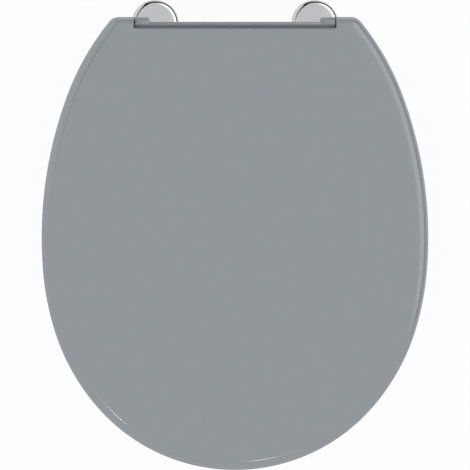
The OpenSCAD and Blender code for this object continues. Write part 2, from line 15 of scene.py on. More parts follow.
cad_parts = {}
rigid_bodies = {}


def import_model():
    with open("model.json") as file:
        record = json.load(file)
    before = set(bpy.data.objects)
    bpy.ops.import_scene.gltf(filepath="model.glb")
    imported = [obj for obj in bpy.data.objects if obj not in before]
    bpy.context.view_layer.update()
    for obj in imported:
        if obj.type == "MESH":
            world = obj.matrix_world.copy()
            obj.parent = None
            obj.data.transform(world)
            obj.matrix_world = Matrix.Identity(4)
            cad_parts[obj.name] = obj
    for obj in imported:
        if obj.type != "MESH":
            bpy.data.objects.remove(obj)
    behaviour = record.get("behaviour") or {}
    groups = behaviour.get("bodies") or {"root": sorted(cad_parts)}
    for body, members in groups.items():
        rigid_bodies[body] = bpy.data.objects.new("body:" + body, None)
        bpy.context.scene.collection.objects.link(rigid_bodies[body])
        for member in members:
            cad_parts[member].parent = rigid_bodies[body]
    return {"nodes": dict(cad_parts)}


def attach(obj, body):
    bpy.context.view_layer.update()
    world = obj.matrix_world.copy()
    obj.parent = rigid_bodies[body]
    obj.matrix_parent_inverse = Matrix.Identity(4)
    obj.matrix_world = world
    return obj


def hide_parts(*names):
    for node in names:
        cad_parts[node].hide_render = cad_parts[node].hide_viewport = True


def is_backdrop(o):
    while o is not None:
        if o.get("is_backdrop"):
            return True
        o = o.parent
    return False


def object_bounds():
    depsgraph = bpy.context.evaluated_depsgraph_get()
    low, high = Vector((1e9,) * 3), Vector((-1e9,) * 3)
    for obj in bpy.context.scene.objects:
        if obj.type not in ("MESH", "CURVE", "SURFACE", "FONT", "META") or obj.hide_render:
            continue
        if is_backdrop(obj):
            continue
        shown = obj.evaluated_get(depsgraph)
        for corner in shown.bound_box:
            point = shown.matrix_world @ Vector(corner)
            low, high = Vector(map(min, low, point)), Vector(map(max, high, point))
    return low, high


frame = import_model()
cad_low, cad_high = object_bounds()
mm = 0.001
print("box in mm:", [round(v / mm, 1) for v in cad_low], [round(v / mm, 1) for v in cad_high])

# %% [markdown]
# ## Camera
# The photograph looks straight down on the closed seat from far away, so that no
# side wall shows. A long lens ten metres up gives the same flat view. The frame is
# 470 pixels wide, and a pixel is 0.97 mm, which the spacing of the caps gives.

# %% Camera
pixel = 0.9677 * mm
frame_width = 470 * pixel
camera_height = 10.0
sensor_width = 36
view_middle = Vector((0, -0.2056, 0.045))

camera = bpy.data.objects.new("camera", bpy.data.cameras.new("camera"))
bpy.context.scene.collection.objects.link(camera)
camera.location = view_middle + Vector((0, 0, camera_height))
camera.data.sensor_width = sensor_width
camera.data.lens = sensor_width * camera_height / frame_width
camera.data.clip_end = 100
bpy.context.scene.camera = camera
print("lens:", round(camera.data.lens), "mm")

# %% [markdown]
# ## Light
# The photograph's light is very even, like that of a white tent round the seat. A
# world of plain white does this, and the world is white behind the seat as well.
# Chrome would look dead in an even white, so what mirrors see is a tent with two dark
# gaps and a brighter right side. One gap crosses its roof left of the seat, and one
# lies low behind it and at the right.

# %% Nodes and colours
def linear(hex_code):
    """The linear colour of an sRGB hex value"""
    parts = [int(hex_code[k:k + 2], 16) / 255 for k in (0, 2, 4)]
    return [p / 12.92 if p <= 0.04045 else ((p + 0.055) / 1.055) ** 2.4 for p in parts] + [1]


def add_node(tree, kind, inputs=None, **settings):
    """Adds a node, with its settings and with values or links for its inputs"""
    node = tree.nodes.new(kind)
    for name, value in settings.items():
        setattr(node, name, value)
    for name, value in (inputs or {}).items():
        if isinstance(value, bpy.types.NodeSocket):
            tree.links.new(value, node.inputs[name])
        else:
            node.inputs[name].default_value = value
    return node


plain_white = (1, 1, 1, 1)
print("mid grey:", [round(v, 3) for v in linear("808080")])

# %% Tent with two gaps
world = bpy.data.worlds.new("white tent")
bpy.context.scene.world = world
world.use_nodes = True
tree = world.node_tree
tree.nodes.clear()

mirror_white, seat_light = 0.94, 0.905

# A gap is where a measure of the direction passes zero: one falls towards the right, one
# falls upwards. A Map Range node takes its value from the range in inputs 1 and 2 to the range in 3 and 4
direction = add_node(tree, "ShaderNodeTexCoord").outputs["Generated"]
part = add_node(tree, "ShaderNodeSeparateXYZ", {0: direction}).outputs
past_roof = add_node(tree, "ShaderNodeMath", {0: part["X"], 1: -2.5, 2: -0.83},
                     operation="MULTIPLY_ADD").outputs[0]
low_edge = add_node(tree, "ShaderNodeMapRange", {0: part["X"], 1: 0.0, 2: 0.6, 3: 0.34, 4: 0.06}).outputs[0]
past_low = add_node(tree, "ShaderNodeMath", {0: low_edge, 1: part["Z"]}, operation="SUBTRACT").outputs[0]
past = add_node(tree, "ShaderNodeMath", {0: past_roof, 1: past_low}, operation="MAXIMUM").outputs[0]
off_gap = add_node(tree, "ShaderNodeMath", {0: past}, operation="ABSOLUTE").outputs[0]
gap = add_node(tree, "ShaderNodeMapRange", {0: off_gap, 1: 0.35, 2: 0.44, 3: 0.02, 4: 1.0}).outputs[0]

# Between the gaps the tent is brighter towards the right, and past them dimmer at the left
within = add_node(tree, "ShaderNodeMapRange",
                  {0: part["X"], 1: 0.03, 2: 0.25, 3: mirror_white, 4: 2.4}).outputs[0]
beyond = add_node(tree, "ShaderNodeMapRange", {0: part["X"], 1: -0.2, 2: 0.3, 3: 1.15, 4: 1.7}).outputs[0]
past_gap = add_node(tree, "ShaderNodeMapRange", {0: past, 1: -0.05, 2: 0.05, 3: 0.0, 4: 1.0}).outputs[0]
bright = add_node(tree, "ShaderNodeMix", {0: past_gap, 2: within, 3: beyond}, data_type="FLOAT").outputs[0]
tent = add_node(tree, "ShaderNodeMath", {0: gap, 1: bright}, operation="MULTIPLY").outputs[0]
print("tent:", len(tree.nodes), "nodes")

# %% World
# The gaps are only behind the seat; in front of it mirrors see an even white
rightwards = add_node(tree, "ShaderNodeMath", {0: part["X"], 1: 0.0}, operation="MAXIMUM").outputs[0]
to_rear = add_node(tree, "ShaderNodeMath", {0: rightwards, 1: 0.4, 2: part["Y"]},
                   operation="MULTIPLY_ADD").outputs[0]
behind = add_node(tree, "ShaderNodeMapRange", {0: to_rear, 1: 0.02, 2: 0.14, 3: 0.0, 4: 1.0}).outputs[0]
reflected = add_node(tree, "ShaderNodeMix", {0: behind, 2: mirror_white, 3: tent},
                     data_type="FLOAT").outputs[0]
# Straight below, upright walls mirror their own shadow on the ceramic
below = add_node(tree, "ShaderNodeMapRange", {0: part["Z"], 1: -0.95, 2: -0.4, 3: 0.25, 4: 1.0}).outputs[0]

rays = add_node(tree, "ShaderNodeLightPath")
seen = add_node(tree, "ShaderNodeBackground", {"Color": plain_white, "Strength": 1.0})
mirror_strength = add_node(tree, "ShaderNodeMath", {0: reflected, 1: below}, operation="MULTIPLY").outputs[0]
mirrored = add_node(tree, "ShaderNodeBackground", {"Color": plain_white, "Strength": mirror_strength})
lit = add_node(tree, "ShaderNodeBackground", {"Color": plain_white, "Strength": seat_light})
for_mirrors = add_node(tree, "ShaderNodeMixShader",
                       {0: rays.outputs["Is Glossy Ray"], 1: lit.outputs[0], 2: mirrored.outputs[0]})
for_camera = add_node(tree, "ShaderNodeMixShader",
                      {0: rays.outputs["Is Camera Ray"], 1: for_mirrors.outputs[0], 2: seen.outputs[0]})
for_glass = add_node(tree, "ShaderNodeMixShader",
                     {0: rays.outputs["Is Transmission Ray"], 1: for_camera.outputs[0], 2: seen.outputs[0]})
add_node(tree, "ShaderNodeOutputWorld", {"Surface": for_glass.outputs[0]})
bpy.context.scene.view_settings.view_transform = "Standard"
print("world:", len(tree.nodes), "nodes")

# %% [markdown]
# ## Floor
# A pale floor lies under the fixing studs. It shows white to the camera, and keeps
# the seat's soft shadow.

# %% Floor
floor_z = cad_low.z - 2 * mm
floor_mesh = bmesh.new()
bmesh.ops.create_grid(floor_mesh, x_segments=1, y_segments=1, size=6)
bmesh.ops.translate(floor_mesh, verts=floor_mesh.verts, vec=(0, -0.2, floor_z))
floor = bpy.data.objects.new("floor", bpy.data.meshes.new("floor"))
floor_mesh.to_mesh(floor.data)
floor_mesh.free()
bpy.context.scene.collection.objects.link(floor)
floor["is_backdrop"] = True
floor.visible_glossy = False  # mirrors see the tent, above and below

paper = bpy.data.materials.new("white backdrop paper")
paper.use_nodes = True
tree = paper.node_tree
tree.nodes.clear()
rays = add_node(tree, "ShaderNodeLightPath")
shade = add_node(tree, "ShaderNodeBsdfDiffuse", {"Color": linear("F4F4F4")})
glow = add_node(tree, "ShaderNodeEmission", {"Color": plain_white, "Strength": 1.0})
white = add_node(tree, "ShaderNodeMixShader", {0: 0.95, 1: shade.outputs[0], 2: glow.outputs[0]})
seen = add_node(tree, "ShaderNodeMixShader",
                {0: rays.outputs["Is Camera Ray"], 1: shade.outputs[0], 2: white.outputs[0]})
add_node(tree, "ShaderNodeOutputMaterial", {"Surface": seen.outputs[0]})
floor.data.materials.append(paper)
print("floor at", round(floor_z / mm, 1), "mm")

# %% [markdown]
# ## The outline
# The seat's outline is a chain of five arcs that meet smoothly, and a round corner at
# the rear. Each arc is drawn by spinning the last vertex about the arc's own centre,
# so the curve is exact. Each vertex keeps its outward direction, so that any parallel
# outline can be made by moving the vertices in along it.

# %% Arcs of the outline
arc_radii = [176.5, 206, 267, 395, 250.8]
arc_turns = [-90, -42, -17.5, -4.7, 20.7]
arc_steps = [30, 14, 8, 18, 14]
corner_steps = 14
rear_y = 5.6
front_y = rear_y - 438.8


def heading(turn):
    """The unit vector at a turn in degrees, counted from the right"""
    return Vector((math.cos(math.radians(turn)), math.sin(math.radians(turn)), 0))


arc_centres = [Vector((0, front_y + arc_radii[0], 0))]
for k in range(1, len(arc_radii)):
    arc_centres.append(arc_centres[-1] + (arc_radii[k - 1] - arc_radii[k]) * heading(arc_turns[k]))


def arcs_to(inset, rear, corner_r, last):
    """The arcs of a parallel outline, each as centre, start, end and steps; the last is its corner"""
    room = arc_radii[last] - inset - corner_r
    turn = math.degrees(math.asin((rear - corner_r - arc_centres[last].y) / room))
    stops = arc_turns[1:last + 1] + [turn]
    arcs = [(arc_centres[k], arc_turns[k], stops[k], arc_steps[k]) for k in range(last + 1)]
    saved = sum(arc_steps[last + 1:])
    return arcs + [(arc_centres[last] + room * heading(turn), turn, 90, corner_steps + saved)]


print("arc centres in mm:", [[round(v, 1) for v in c.xy] for c in arc_centres])


# %% Drawing an outline
def new_shape():
    """An empty bmesh whose vertices remember where they started and which way is out"""
    bm = bmesh.new()
    bm.verts.layers.float_vector.new("start")
    bm.verts.layers.float_vector.new("outward")
    return bm


def draw_half(bm, inset, rear, corner_r, last, rear_steps):
    """Draws the right half of an outline in millimetres, from the front to the rear, as a chain"""
    outward = bm.verts.layers.float_vector["outward"]
    chain = [bm.verts.new((0, front_y + inset, 0))]
    chain[0][outward] = heading(-90)
    for centre, turn_from, turn_to, steps in arcs_to(inset, rear, corner_r, last):
        before = len(bm.verts)
        bmesh.ops.spin(bm, geom=[chain[-1]], cent=centre, axis=(0, 0, 1), dvec=(0, 0, 0),
                       angle=math.radians(turn_to - turn_from), steps=steps, use_duplicate=False)
        bm.verts.ensure_lookup_table()
        for v in bm.verts[before:]:
            v[outward] = (v.co - centre).normalized()
            chain.append(v)
    step = Vector((-chain[-1].co.x / rear_steps, 0, 0))
    for _ in range(rear_steps):
        v = bmesh.ops.extrude_vert_indiv(bm, verts=[chain[-1]])["verts"][0]
        v.co = chain[-1].co + step
        v[outward] = heading(90)
        chain.append(v)
    chain[-1].co.x = 0
    return chain


def close_outline(bm):
    """Mirrors the half outline, stores each vertex's start and returns the closed rim of edges"""
    start = bm.verts.layers.float_vector["start"]
    outward = bm.verts.layers.float_vector["outward"]
    bmesh.ops.mirror(bm, geom=bm.verts[:] + bm.edges[:], matrix=Matrix(), merge_dist=1e-4, axis="X")
    for v in bm.verts:
        v[start] = v.co
        if v.co.x < 0:
            v[outward] = v[outward] * Vector((-1, 1, 1))
    return bm.edges[:]


def grow(bm, rim, place):
    """Extrudes a closed rim and puts each new vertex where place says; returns the new rim"""
    made = bmesh.ops.extrude_edge_only(bm, edges=rim)["geom"]
    fresh = {v for v in made if isinstance(v, bmesh.types.BMVert)}
    for v in fresh:
        v.co = place(v)
    return [e for e in made if isinstance(e, bmesh.types.BMEdge) and set(e.verts) <= fresh]


print("outline from", round(front_y, 1), "to", rear_y, "mm")

# %% [markdown]
# ## Finishes
# Each finish is named for the real material. The moulded thermoset is hard and very
# glossy, with a faint waviness from its mould. The caps are chrome plate. The fixings
# are stainless steel, and the hidden parts are nylon, acetal and rubber.

# %% Glossy thermoset
def new_material(name, base, roughness, metallic=0.0, ior=None):
    """A material with one Principled shader; returns the material, its tree and the shader"""
    material = bpy.data.materials.new(name)
    material.use_nodes = True
    tree = material.node_tree
    tree.nodes.clear()
    shader = add_node(tree, "ShaderNodeBsdfPrincipled",
                      {"Base Color": linear(base), "Roughness": roughness, "Metallic": metallic})
    if ior:
        shader.inputs["IOR"].default_value = ior
    add_node(tree, "ShaderNodeOutputMaterial", {"Surface": shader.outputs[0]})
    return material, tree, shader


def speckle(tree, shader, size, spread_dark, spread_light, rough_low, rough_high, bump, detail=4.0):
    """Varies colour and roughness over spots of a size in metres, and raises them by bump metres"""
    noise_low, noise_high = 0.3, 0.7
    place = add_node(tree, "ShaderNodeTexCoord").outputs["Object"]
    noise = add_node(tree, "ShaderNodeTexNoise",
                     {"Vector": place, "Scale": 1 / size, "Detail": detail, "Roughness": 0.55})
    tone = add_node(tree, "ShaderNodeMapRange",
                    {0: noise.outputs[0], 1: noise_low, 2: noise_high, 3: 0.0, 4: 1.0}).outputs[0]
    colour = add_node(tree, "ShaderNodeMix", {0: tone, 6: linear(spread_dark), 7: linear(spread_light)},
                      data_type="RGBA").outputs[2]
    rough = add_node(tree, "ShaderNodeMapRange", {0: noise.outputs[0], 1: noise_low, 2: noise_high,
                                                  3: rough_low, 4: rough_high}).outputs[0]
    lift = add_node(tree, "ShaderNodeBump",
                    {"Height": noise.outputs[0], "Strength": 1.0, "Distance": bump}).outputs[0]
    tree.links.new(colour, shader.inputs["Base Color"])
    tree.links.new(rough, shader.inputs["Roughness"])
    tree.links.new(lift, shader.inputs["Normal"])


# Urea moulding compound, pressed in a polished mould: an even mid grey with a hard
# gloss, whose waviness is a few thousandths of a millimetre over 12 mm or so
thermoset, tree, shader = new_material("moulded urea thermoset", "8E9399", 0.14, ior=1.55)
speckle(tree, shader, 12 * mm, "8E949A", "90959B", 0.06, 0.09, 0.001 * mm, detail=1.0)
print("thermoset:", len(tree.nodes), "nodes")

# %% Chrome plate
# Chrome on zinc: a mirror with a slight cool tint, blurred a little by fine polishing marks
chrome, tree, shader = new_material("chrome plate", "C3C4C5", 0.05, metallic=1.0)
speckle(tree, shader, 3 * mm, "C1C2C3", "C6C6C7", 0.03, 0.07, 0.0005 * mm)
print("chrome:", len(tree.nodes), "nodes")

# %% Steel, plastics and rubber
# Stainless steel, turned: a bright grey, varied in fine spots 0.8 mm across
steel, tree, shader = new_material("turned stainless steel", "9FA2A6", 0.25, metallic=1.0)
speckle(tree, shader, 0.8 * mm, "9A9DA1", "A6A9AD", 0.20, 0.34, 0.002 * mm)
# Glass-filled nylon, moulded: nearly black, dull, with a fine spark-eroded grain
nylon, tree, shader = new_material("moulded nylon", "37393C", 0.5, ior=1.53)
speckle(tree, shader, 0.9 * mm, "333538", "3C3E42", 0.42, 0.58, 0.01 * mm)
# Acetal, moulded: milky white, waxy and a little shiny
acetal, tree, shader = new_material("moulded acetal", "DBDDDD", 0.32, ior=1.48)
speckle(tree, shader, 1.4 * mm, "D6D8D8", "E0E2E2", 0.28, 0.38, 0.004 * mm)
# Soft thermoplastic rubber: dull mid grey with a fine matt grain
rubber, tree, shader = new_material("soft rubber", "6B6E72", 0.75, ior=1.5)
speckle(tree, shader, 0.7 * mm, "66696D", "707377", 0.68, 0.85, 0.02 * mm)
print("finishes:", ", ".join(m.name for m in bpy.data.materials))

# %% [markdown]
# ## Finished pieces
# A shape is drawn in millimetres and shrunk to metres at the end. Its faces are
# shaded smooth, with a crease only where two faces meet at a real edge.

# %% Making an object from a shape
def finish_piece(bm, name, material, crease=32):
    """Turns a bmesh in millimetres into an object in metres with smooth shading"""
    bmesh.ops.recalc_face_normals(bm, faces=bm.faces[:])
    bmesh.ops.scale(bm, vec=(mm, mm, mm), verts=bm.verts[:])
    mesh = bpy.data.meshes.new(name)
    bm.to_mesh(mesh)
    bm.free()
    mesh.shade_smooth()
    mesh.set_sharp_from_angle(angle=math.radians(crease))
    piece = bpy.data.objects.new(name, mesh)
    bpy.context.scene.collection.objects.link(piece)
    mesh.materials.append(material)
    return piece


def combine(piece, tool, operation):
    """Joins a tool to a piece, or cuts it out, and keeps only the result"""
    modifier = piece.modifiers.new("combine", "BOOLEAN")
    modifier.operation = operation
    modifier.solver = "EXACT"
    modifier.object = tool
    graph = bpy.context.evaluated_depsgraph_get()
    result = bpy.data.meshes.new_from_object(piece.evaluated_get(graph))
    piece.modifiers.clear()
    piece.data = result
    bpy.data.objects.remove(tool)


def block(bm, low, high):
    """Adds a box between two corners"""
    made = bmesh.ops.create_cube(bm, size=1)["verts"]
    low, high = Vector(low), Vector(high)
    bmesh.ops.scale(bm, vec=high - low, verts=made)
    bmesh.ops.translate(bm, vec=(low + high) / 2, verts=made)
    return made


def rod(bm, centre, radius, length, along="Z", segments=96):
    """Adds a cylinder that starts at centre and runs along an axis"""
    made = bmesh.ops.create_cone(bm, cap_ends=True, segments=segments, radius1=radius,
                                 radius2=radius, depth=length)["verts"]
    bmesh.ops.translate(bm, vec=(0, 0, length / 2), verts=made)
    if along == "X":
        bmesh.ops.rotate(bm, cent=(0, 0, 0), matrix=Matrix.Rotation(math.radians(90), 3, "Y"), verts=made)
    bmesh.ops.translate(bm, vec=centre, verts=made)
    return made


def turn_by(bm, angle, verts):
    """Turns vertices about the upright axis by an angle in radians"""
    bmesh.ops.rotate(bm, cent=(0, 0, 0), matrix=Matrix.Rotation(angle, 3, "Z"), verts=verts)


def push_out(profile, low_x, high_x):
    """Makes a solid from a profile of (y, z) points, pushed out along X"""
    bm = bmesh.new()
    chain = [bm.verts.new((low_x, *profile[0]))]
    for y, z in profile[1:]:
        v = bmesh.ops.extrude_vert_indiv(bm, verts=[chain[-1]])["verts"][0]
        v.co = (low_x, y, z)
        chain.append(v)
    bm.edges.new((chain[-1], chain[0]))
    face = bmesh.ops.contextual_create(bm, geom=bm.edges[:])["faces"]
    made = bmesh.ops.extrude_face_region(bm, geom=face, use_keep_orig=True)["geom"]
    far_end = [v for v in made if isinstance(v, bmesh.types.BMVert)]
    bmesh.ops.translate(bm, vec=(high_x - low_x, 0, 0), verts=far_end)
    bmesh.ops.recalc_face_normals(bm, faces=bm.faces[:])
    return bm


def soften(bm, offset, angle=25, segments=3):
    """Rounds every edge sharper than an angle"""
    sharp = [e for e in bm.edges if len(e.link_faces) == 2 and e.calc_face_angle(0) > math.radians(angle)]
    bmesh.ops.bevel(bm, geom=sharp, offset=offset, affect="EDGES", segments=segments,
                    profile=0.5, material=-1, clamp_overlap=True)


def tool_of(bm):
    """Turns a bmesh into an object that combine() uses up"""
    return finish_piece(bm, "tool", thermoset)


def both_sides(bm):
    """Mirrors what has been drawn on the right to the left"""
    bmesh.ops.mirror(bm, geom=bm.verts[:] + bm.edges[:] + bm.faces[:], matrix=Matrix(),
                     merge_dist=-1, axis="X")
    bmesh.ops.recalc_face_normals(bm, faces=bm.faces[:])


def stand_in(piece, *nodes):
    """Puts a finished piece in a CAD node's place: on its body, with the CAD nodes hidden"""
    node = frame["nodes"][nodes[0]]
    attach(piece, node.parent.name.split(":")[1])
    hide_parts(*nodes)


print("helpers ready")

# %% [markdown]
# ## Lid
# The lid is a shallow shell, pressed in one piece. It could be a stack of CAD slices,
# but its top would then show facets in the gloss. Here one outline is extruded again
# and again: inwards over the crowned top, and outwards over the rounded edge, down the
# skirt and back up inside.

# %% Lid sizes
lid_z, lid_edge_top, lid_top = 30.5, 48.8, 50.0
lid_edge_r, lid_wall, lid_under, lid_fillet = 9.0, 4.5, 44.5, 3.0
lid_join = lid_under + 1  # ears, ribs and bosses end inside the plate
lid_corner_r = 12.0
lid_inset = 0.13  # keeps the smooth outline inside the faceted one
crown_front, crown_rear = 175.5, 87.8  # how far in the crown's middle line starts and ends
crown_shares = (0.02, 0.06, 0.12, 0.2, 0.3, 0.42, 0.55, 0.7, 0.85)
axis_y, axis_z = -6.0, 30.0
cartridge_bore_r, bush_bore_r = 5.65, 7.15
notch_x, notch_front, notch_spare = 98.1, -5.3, 5.0
ear_w, ear_r, ear_bore = 15.0, 11.3, 13.5
rib_half = 1.5


def quarter(radius, steps):
    """Depth and drop of points on a quarter circle, from flat to upright"""
    turns = [math.radians(90 * k / steps) for k in range(1, steps + 1)]
    return [(radius * (1 - math.sin(a)), radius * (1 - math.cos(a))) for a in turns]


edge_path = [(inset, lid_edge_top - drop) for inset, drop in quarter(lid_edge_r, 14)]
edge_path += [(0, lid_z + 1.0), (0.3, lid_z + 0.3), (1.0, lid_z)]
edge_path += [(lid_wall - 0.8, lid_z), (lid_wall, lid_z + 0.8), (lid_wall, lid_under - lid_fillet)]
edge_path += [(lid_wall + drop, lid_under - inset) for inset, drop in quarter(lid_fillet, 6)]
print("lid edge:", len(edge_path), "steps")

# %% Lid shell
shape = new_shape()
draw_half(shape, lid_inset, rear_y - lid_inset, lid_corner_r, last=4, rear_steps=24)
rim = close_outline(shape)
start = shape.verts.layers.float_vector["start"]
outward = shape.verts.layers.float_vector["outward"]


def at_edge(inset, z):
    """Places a vertex in from the outline at a height"""
    return lambda v: Vector((*(v[start] - inset * v[outward]).xy, z))


def at_crown(share):
    """Places a vertex a share of the way to the lid's middle line, on the crown"""
    def place(v):
        """The vertex's place on the crown"""
        p = v[start] - lid_edge_r * v[outward]
        middle = min(max(p.y, front_y + crown_front), rear_y - crown_rear)
        rise = (lid_top - lid_edge_top) * (1 - (1 - share) ** 2)
        return Vector((p.x * (1 - share), p.y + (middle - p.y) * share, lid_edge_top + rise))
    return place


for v in shape.verts:
    v.co = at_edge(lid_edge_r, lid_edge_top)(v)
inner = rim
for share in crown_shares:
    inner = grow(shape, inner, at_crown(share))
bmesh.ops.contextual_create(shape, geom=inner)
outer = rim
for inset, z in edge_path:
    outer = grow(shape, outer, at_edge(inset, z))
bmesh.ops.contextual_create(shape, geom=outer)
lid_shell = finish_piece(shape, "lid_shell", thermoset)
print("lid shell:", len(lid_shell.data.polygons), "faces")

# %% [markdown]
# The lid is then cut out behind for the hinge bar. Two ears come down from its plate
# beside the cut, with bores for the damper and the bush, and a rib closes the hollow
# in front of the bar. Four low bosses hold the buffers.

# %% Notch and ears
tool = bmesh.new()
block(tool, (-notch_x, notch_front, lid_z - notch_spare),
      (notch_x, rear_y + notch_spare, lid_top + notch_spare))
combine(lid_shell, tool_of(tool), "DIFFERENCE")

turns = [math.radians(a) for a in range(180, 361, 4)]
ear_profile = [(axis_y + ear_r * math.cos(a), axis_z + ear_r * math.sin(a)) for a in turns]
ear_profile += [(axis_y + ear_r, lid_edge_top - lid_edge_r), (axis_y + ear_r - 3, lid_join),
                (axis_y - ear_r, lid_join)]
ear = push_out(ear_profile, notch_x, notch_x + ear_w)
soften(ear, 0.7)
both_sides(ear)
combine(lid_shell, tool_of(ear), "UNION")
print("lid with ears:", len(lid_shell.data.polygons), "faces")

# %% Ribs and buffer bosses under the lid
def on_rim(turn, inset):
    """A point in from the outline, where the outline faces a heading"""
    k = max(k for k in range(len(arc_turns)) if turn >= arc_turns[k])
    return arc_centres[k] + (arc_radii[k] - inset) * heading(turn)


front_rib_x, front_rib_y, side_rib_x, lid_rib_z = 106.1, -39.0, 103.6, lid_z + 0.8
lid_buffer_turns, lid_buffer_inset, lid_boss_r, lid_boss_h = (-50, 14), 20, 10.0, 5.0
under = bmesh.new()
block(under, (-front_rib_x, front_rib_y - rib_half, lid_rib_z),
      (front_rib_x, front_rib_y + rib_half, lid_join))
combine(lid_shell, tool_of(under), "UNION")
under = bmesh.new()
block(under, (side_rib_x - rib_half, front_rib_y, lid_rib_z), (side_rib_x + rib_half, axis_y, lid_join))
for turn in lid_buffer_turns:
    boss_base = on_rim(turn, lid_buffer_inset) + Vector((0, 0, lid_join - lid_boss_h))
    rod(under, boss_base, lid_boss_r, lid_boss_h)
both_sides(under)
combine(lid_shell, tool_of(under), "UNION")
print("lid with ribs:", len(lid_shell.data.polygons), "faces")

# %% Bores in the ears
bores = bmesh.new()
rod(bores, (1 - notch_x - ear_bore, axis_y, axis_z), cartridge_bore_r, ear_bore, along="X")
rod(bores, (notch_x - 1, axis_y, axis_z), bush_bore_r, ear_bore, along="X")
combine(lid_shell, tool_of(bores), "DIFFERENCE")
stand_in(lid_shell, "lid")
print("lid done:", len(lid_shell.data.polygons), "faces")

# %% [markdown]
# ## Seat ring
# The ring is a hollow section that follows two outlines, its outer edge and the
# opening. Each station runs straight across from one to the other. The section, with
# its rounded edges and slightly dished sitting face, is drawn by growing the outer
# outline over the top to the opening and back underneath.

# %% Ring section
ring_z, ring_top, ring_fall, ring_wall = 9.0, 28.0, 2.2, 4.5
ring_ceiling = ring_top - ring_wall
ring_inset, rim_w, ring_set, opening_set = 3.0, 68.0, 21.5, 95.0
ring_corner_r, opening_corner_r = 10, 75
outer_edge_r, inner_edge_r, fall_power = 6, 11, 2.3

# Each point of the section: offset from the edge, share of the rim's width, height
outer_edge = [(inset, 0, ring_top - drop) for inset, drop in reversed(quarter(outer_edge_r, 8))]
sitting_face = [(outer_edge_r - (outer_edge_r + inner_edge_r) * t, t, ring_top - ring_fall * t ** fall_power)
                for t in (k / 10 for k in range(11))]
inner_edge = [(-inset, 1, ring_top - ring_fall - drop) for inset, drop in quarter(inner_edge_r, 12)]
section = [(0.3, 0, ring_z + 0.3), (0, 0, ring_z + 1)] + outer_edge + sitting_face + inner_edge
section += [(0, 1, ring_z + 1), (-0.3, 1, ring_z + 0.3), (-1, 1, ring_z), (-ring_wall, 1, ring_z)]
section += [(-ring_wall, 1, ring_ceiling - ring_fall), (ring_wall, 0, ring_ceiling), (ring_wall, 0, ring_z)]
print("ring section:", len(section) + 1, "points")

# %% Ring shell
shape = new_shape()
edge_half = draw_half(shape, ring_inset, -ring_set, ring_corner_r, last=4, rear_steps=14)
opening = new_shape()
opening_half = draw_half(opening, ring_inset + rim_w, -opening_set, opening_corner_r, last=3, rear_steps=14)
across = shape.verts.layers.float_vector["outward"]
for edge_vertex, opening_vertex in zip(edge_half, opening_half):
    edge_vertex[across] = opening_vertex.co - edge_vertex.co
opening.free()
rim = close_outline(shape)
start = shape.verts.layers.float_vector["start"]


def at_section(offset, share, z):
    """Places a vertex on the way across the rim"""
    return lambda v: Vector((*(v[start] + v[across] * (share + offset / v[across].length)).xy, z))


first = at_section(1, 0, ring_z)
for v in shape.verts:
    v.co = first(v)
for offset, share, z in section + [(1, 0, ring_z)]:
    rim = grow(shape, rim, at_section(offset, share, z))
bmesh.ops.remove_doubles(shape, verts=shape.verts[:], dist=1e-4)
ring_shell = finish_piece(shape, "ring_shell", thermoset)
print("ring shell:", len(ring_shell.data.polygons), "faces")

# %% [markdown]
# A raised bar along the ring's rear carries the hinges. It is hollow below, and its
# two lugs reach back between the hubs and the lid's ears. Both are drawn as a profile
# seen from the side and pushed out along X.

# %% Hinge bar and lugs
bar_top, bar_half, hub_inner, lug_inner, lug_outer = 38.4, 84.4, 62.6, 83.4, 97.2
lug_r, lug_rear_r = 11.6, 14.2
crest = [(0.1, 41.55), (-0.6, 41.85), (-1.3, 41.95), (-1.9, 41.88), (-2.5, 41.65), (-9.9, 39.0)]
bar_profile = [(0.8, 20), (0.8, 40.5), (0.75, 40.85), (0.55, 41.2)] + crest
front_slope = [(-24, bar_top), (-33, 27.5), (-33, 24), (-25.5, 24)]
bar_profile += front_slope + [(-25.5, 20), (-21.5, 20), (-21.5, 35.2), (-2.4, 35.2), (-2.4, 20)]
bar = push_out(bar_profile, -bar_half, bar_half)
soften(bar, 0.9)
combine(ring_shell, tool_of(bar), "UNION")

turns = [math.radians(a) for a in range(-124, 1, 4)]
lug_profile = [(axis_y + lug_r * math.cos(a), axis_z + lug_r * math.sin(a)) for a in turns]
turns = [math.radians(a) for a in (35.5, 39, 43, 47, 50, 52.5)]
lug_profile += [(axis_y + lug_rear_r * math.cos(a), axis_z + lug_rear_r * math.sin(a)) for a in turns]
lug_profile += [(1.2, 41.7)] + crest[1:] + front_slope + [(-25.5, 20.4)]
lug = push_out(lug_profile, lug_inner, lug_outer)
soften(lug, 0.6)
both_sides(lug)
combine(ring_shell, tool_of(lug), "UNION")
print("ring with bar and lugs:", len(ring_shell.data.polygons), "faces")

# %% Ribs and buffer bosses under the ring
ring_rib_turns, ring_buffer_turns = (-78, -62, -34, -20, -4), (-48, 12)
straight_ribs = ((40, -99), (88, -118))  # x, and y of the front end
rim_middle = ring_inset + rim_w / 2
rib_reach, rib_low, rib_high = rim_w / 2 - 4, ring_z + 3, ring_ceiling - 1.7
under = bmesh.new()
for turn in ring_rib_turns:
    rib = block(under, (-rib_reach, -rib_half, rib_low), (rib_reach, rib_half, rib_high))
    turn_by(under, math.radians(turn), rib)
    bmesh.ops.translate(under, vec=on_rim(turn, rim_middle), verts=rib)
for x, y in straight_ribs:
    block(under, (x - rib_half, y, rib_low), (x + rib_half, -ring_set - 4, rib_high))
both_sides(under)
combine(ring_shell, tool_of(under), "UNION")

